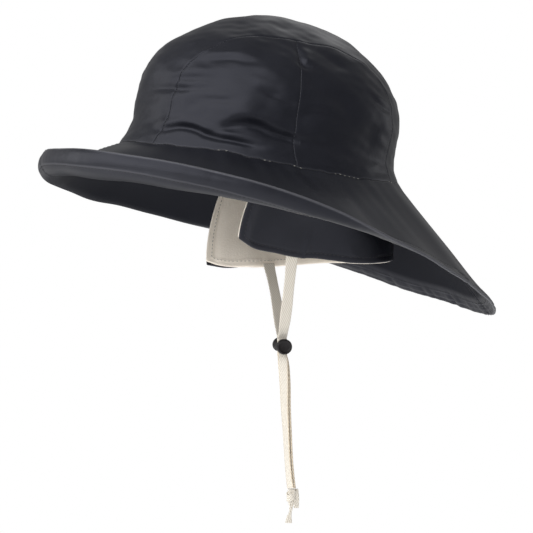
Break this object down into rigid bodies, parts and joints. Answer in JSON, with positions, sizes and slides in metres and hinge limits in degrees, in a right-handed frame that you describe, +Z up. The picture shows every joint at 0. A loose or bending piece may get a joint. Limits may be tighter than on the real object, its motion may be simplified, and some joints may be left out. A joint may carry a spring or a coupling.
{
  "type": "sou'wester rain hat",
  "caption": "Dark coated rain hat with a domed crown, a brim turned up like a gutter in front and long behind, a lined ear flap, and a chin tape with a cord lock.",
  "frame": {"origin": "centre of the head opening, at the height of the seam between crown and brim", "axes": "-Y towards the front of the hat, +Y towards the tail of the brim, +X towards the wearer's left, +Z up as worn"},
  "size_m": [0.2808, 0.3487, 0.3801],
  "materials": {
    "coated_cloth": "smooth coated cloth, soft sheen",
    "flannel": "brushed cotton flannel",
    "cotton_tape": "woven twill",
    "black_plastic": "satin moulded"
  },
  "bodies": {
    "root": {"crown_centre_panel": "coated_cloth", "crown_side_front_left": "coated_cloth", "crown_side_back_left": "coated_cloth", "crown_side_front_right": "coated_cloth", "crown_side_back_right": "coated_cloth", "brim_left": "coated_cloth", "brim_right": "coated_cloth", "ear_flap_outer": "coated_cloth", "ear_flap_lining": "flannel", "chin_tape_left": "cotton_tape", "chin_tape_right": "cotton_tape", "tape_knot": "cotton_tape", "cord_lock_barrel": "black_plastic", "cord_lock_button": "black_plastic"}
  },
  "joints": []
}
